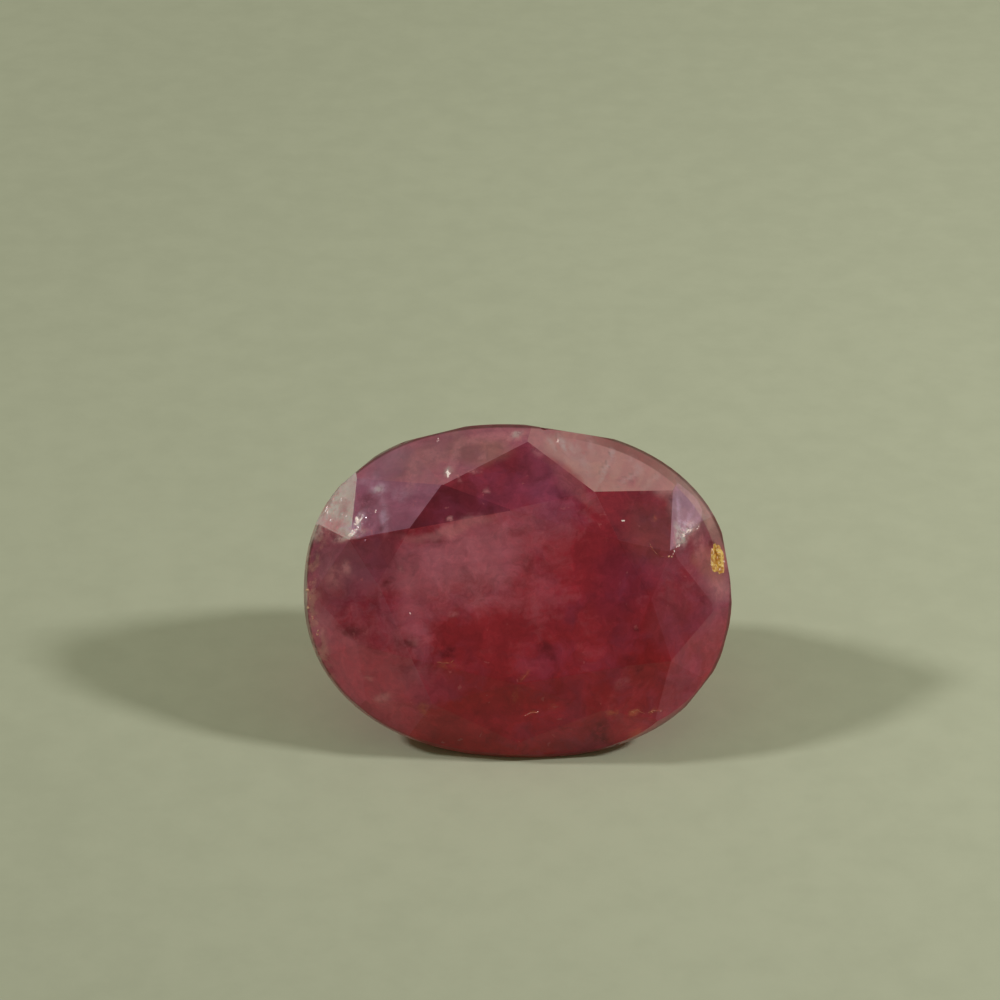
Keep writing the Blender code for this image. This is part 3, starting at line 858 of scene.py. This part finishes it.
def pit_face(shape, face, layers):
    """Replaces a flat facet with a fine mesh on the same border, pitted where it is frosted."""
    turn = face.normal.to_track_quat("Z", "Y").to_matrix().transposed()
    start = face.verts[0].co.copy()
    border = [tuple((turn @ (vert.co - start) / MM).xy) for vert in face.verts]
    xs, ys = zip(*border)
    draw = random.Random(FROST_SEED)
    inner = []
    rows = int((max(ys) - min(ys)) / FROST_GRAIN) + 1
    columns = int((max(xs) - min(xs)) / FROST_GRAIN) + 1
    for row in range(rows):
        for column in range(columns):
            x = min(xs) + (column + 0.5 * (row % 2) + draw.uniform(-0.2, 0.2)) * FROST_GRAIN
            y = min(ys) + (row + draw.uniform(-0.2, 0.2)) * FROST_GRAIN
            place = room_point(start + turn.transposed() @ Vector((x, y, 0)) * MM)
            if frost_depth(place) and inside(border, x, y, FROST_GRAIN * 0.5):
                inner.append((x, y))
    if not inner:
        return
    sides = [(i, (i + 1) % len(border)) for i in range(len(border))]
    points = [Vector(point) for point in border + inner]
    flat, _, faces, origins, _, _ = delaunay_2d_cdt(points, sides, [], 0, 1e-7, True)
    if len(flat) != len(points):
        return
    middles = (sum((flat[i] for i in corners), Vector((0, 0))) / 3 for corners in faces)
    faces = [c for c, middle in zip(faces, middles) if inside(border, *middle, 0)]
    made = {}
    for index, place in enumerate(flat):
        first = min(origins[index]) if origins[index] else -1
        if 0 <= first < len(border):
            made[index] = face.verts[first]
            continue
        point = start + turn.transposed() @ Vector((place.x, place.y, 0)) * MM
        point -= face.normal * frost_depth(room_point(point)) * MM
        made[index] = shape.verts.new(point)
    look = [face[layer] for layer in layers]
    wanted = face.normal.copy()
    shape.faces.remove(face)
    for corners in faces:
        piece = shape.faces.new([made[i] for i in corners])
        piece.normal_update()
        if piece.normal.dot(wanted) < 0:
            piece.normal_flip()
        for layer, value in zip(layers, look):
            piece[layer] = value


def cut_grid(shape):
    """Cuts the facets along a fine grid of planes, only to give points that can carry the colours."""
    tilt = Matrix.Rotation(STONE_TILT, 3, "X")
    for axis, reach in ((Vector((1, 0, 0)), OUTLINE[0]), (Vector((0, 1, 0)), OUTLINE[1])):
        lines = int(reach / GRID)
        for line in range(-lines, lines + 1):
            bmesh.ops.bisect_plane(
                shape, geom=shape.verts[:] + shape.edges[:] + shape.faces[:], dist=GRID_PULL,
                plane_co=gem_point(*(axis * line * GRID)), plane_no=tilt @ axis,
            )


def flat_facets(shape):
    """Joins the triangles of each flat facet into one face."""
    bmesh.ops.remove_doubles(shape, verts=shape.verts[:], dist=1e-6)
    bmesh.ops.dissolve_limit(
        shape, angle_limit=math.radians(0.3), verts=shape.verts[:], edges=shape.edges[:]
    )
    bmesh.ops.recalc_face_normals(shape, faces=shape.faces[:])


def stone_from_frame():
    """The faceted stone, with worn edges, a chipped rim and frosted places."""
    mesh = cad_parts["ruby"].data.copy()
    shape = bmesh.new()
    shape.from_mesh(mesh)
    flat_facets(shape)
    wear_edges(shape)
    shape.to_mesh(mesh)
    shape.clear()
    stone = bpy.data.objects.new("ruby_stone", mesh)
    bpy.context.scene.collection.objects.link(stone)
    mesh = chip_rim(stone)
    mesh.name = "ruby_stone"
    shape.from_mesh(mesh)
    flat_facets(shape)
    layers = [shape.faces.layers.float.new(name) for name in ("milky", "lilac", "frosted")]
    turn = Matrix.Rotation(-STONE_TILT, 3, "X")
    for face in shape.faces:
        middle = room_point(face.calc_center_median())
        for layer, value in zip(layers, facet_look(middle, turn @ face.normal)):
            face[layer] = value
    for face in shape.faces[:]:
        if face.calc_area() > WORN_FACE_AREA:
            pit_face(shape, face, layers)
    cut_grid(shape)
    bmesh.ops.triangulate(shape, faces=[face for face in shape.faces if len(face.verts) > 3])
    shape.to_mesh(mesh)
    shape.free()
    colour_points(mesh)
    stone.data = mesh
    mesh.materials.clear()
    mesh.materials.append(ruby_material())
    mesh.shade_flat()
    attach(stone, "root")
    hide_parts("ruby")
    return stone


def surface_finder(stone):
    """A function that gives the place and outward direction of the stone's surface at a gem x, y."""
    shape = bmesh.new()
    shape.from_mesh(stone.data)
    tree = BVHTree.FromBMesh(shape)
    shape.free()
    out = Matrix.Rotation(STONE_TILT, 3, "X") @ Vector((0, 0, 1))

    def find(x, y):
        place, normal, _, _ = tree.ray_cast(gem_point(x, y, 10), -out)
        return place, normal

    return find


def add_grain(shape, find, centre, reach, turn, height, detail, draw):
    """A low dome with an uneven border on the stone's surface, closed underneath."""
    rings, sides = detail
    phase = draw.uniform(0, 100)

    def point(x, y, z):
        flat = Vector(centre) + Matrix.Rotation(math.radians(turn), 2) @ Vector((x, y))
        place, normal = find(*flat)
        if not place:
            place, normal = find(*centre)
        return shape.verts.new(place + normal * z * MM)

    peak, foot = point(0, 0, height), point(0, 0, -2 * SUNK)
    inner = [peak] * sides
    for ring in range(1, rings + 1):
        share = ring / rings
        row = []
        for i in range(sides):
            way = Vector((math.cos(math.tau * i / sides), math.sin(math.tau * i / sides), 0))
            border = share * (1 + 0.55 * noise.noise(way * 1.3 + Vector((0, 0, phase))))
            x, y = way.x * reach[0] * border, way.y * reach[1] * border
            lump = (1 - share ** 2) * (0.8 + 0.7 * noise.noise(Vector((x * 11, y * 11, phase))))
            row.append(point(x, y, height * lump - SUNK * share))
        for i in range(sides):
            corners = [inner[i - 1], inner[i], row[i], row[i - 1]]
            shape.faces.new(corners[1:] if ring == 1 else corners)
        inner = row
    for i in range(sides):
        shape.faces.new((inner[i - 1], inner[i], foot))


def add_cluster(shape, find, centre, reach, turn, draw):
    """A few overlapping grains, which together make one broken, uneven speck."""
    for _ in range(CLUSTER):
        aside = Vector([draw.uniform(-0.7, 0.7) * length for length in reach])
        place = Vector(centre) + Matrix.Rotation(math.radians(turn), 2) @ aside
        small = [length * draw.uniform(0.40, 0.80) for length in reach]
        height = min(GRAIN_HEIGHT, small[1] * 0.8)
        add_grain(shape, find, place, small, turn + draw.uniform(-40, 40), height, GRAIN_DETAIL, draw)


def add_hairline(shape, find, points, draw):
    """A thin ridge along a crack, three-sided and closed at its ends."""
    rows = []
    for (x1, y1), (x2, y2) in zip(points, points[1:]):
        steps = max(2, int(math.dist((x1, y1), (x2, y2)) / HAIRLINE_STEP))
        last = (x2, y2) == points[-1]
        for step in range(steps + last):
            share = step / steps
            x = x1 + (x2 - x1) * share + draw.uniform(-HAIRLINE_SHAKE, HAIRLINE_SHAKE)
            y = y1 + (y2 - y1) * share + draw.uniform(-HAIRLINE_SHAKE, HAIRLINE_SHAKE)
            place, normal = find(x, y)
            way = (gem_point(x2, y2, 0) - gem_point(x1, y1, 0)).normalized()
            side = normal.cross(way).normalized() * HAIRLINE_WIDTH / 2 * draw.uniform(0.5, 1.3) * MM
            low = place - normal * SUNK / 2 * MM
            top = place + normal * SUNK / 2 * MM
            rows.append([shape.verts.new(point) for point in (low - side, top, low + side)])
    for first, second in zip(rows, rows[1:]):
        for i in range(3):
            shape.faces.new((first[i - 1], first[i], second[i], second[i - 1]))
    shape.faces.new(rows[0])
    shape.faces.new(rows[-1][::-1])


def add_piece(name, shape):
    """Makes an object with its own material of a finished shape, riding on the stone's body."""
    bmesh.ops.recalc_face_normals(shape, faces=shape.faces[:])
    bmesh.ops.triangulate(shape, faces=[face for face in shape.faces if len(face.verts) > 3])
    mesh = bpy.data.meshes.new(name)
    shape.to_mesh(mesh)
    shape.free()
    mesh.materials.append(grain_material(name, *SMALL_LOOKS[name]))
    piece = bpy.data.objects.new(name, mesh)
    bpy.context.scene.collection.objects.link(piece)
    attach(piece, "root")


def grain_material(name, deep, pale, scale, roughness, painted_glow):
    """Small grains whose colour runs unevenly between two tones, with a painted glow where one is
    given.
    """
    look = Shade(name)
    place = look.stone_place()
    tone = look.ramp(look.noise(place, scale, detail=4, roughness=0.6), 0.38, 0.62)
    look.set(Base_Color=look.mix(tone, (*deep, 1), (*pale, 1)), Roughness=roughness, IOR=1.6)
    look.set(Coat_Weight=0.6, Coat_Roughness=0.08)
    # Painted glow: only the glints are given one, as sparkle
    look.set(Emission_Color=PAINTED_GLOW_COLOUR, Emission_Strength=painted_glow)
    look.set(Normal=look.node("Bump", {"Height": tone, "Strength": 0.4, "Distance": 0.00002}))
    return look.material


def add_small_things(stone):
    """Grains painted near-white as highlights, peach grains, healed cracks and the drop of amber stain.
    """
    find = surface_finder(stone)
    draw = random.Random(SMALL_SEED)
    for name, grains in (("glints", GLINTS), ("peach_grains", PEACH_GRAINS)):
        shape = bmesh.new()
        for centre, reach, turn in grains:
            add_cluster(shape, find, centre, reach, turn, draw)
        add_piece(name, shape)
    shape = bmesh.new()
    for points in HAIRLINES:
        add_hairline(shape, find, points, draw)
    add_piece("hairlines", shape)
    shape = bmesh.new()
    centre, reach, turn, height = STAIN
    add_grain(shape, find, centre, reach, turn, height, STAIN_DETAIL, draw)
    add_piece("amber_stain", shape)


bpy.context.scene.view_settings.view_transform = "Standard"
bpy.context.scene.cycles.max_bounces = 24
bpy.context.scene.cycles.glossy_bounces = 12
bpy.context.scene.cycles.transmission_bounces = 16
add_camera()
add_lights()
add_floor()
add_small_things(stone_from_frame())
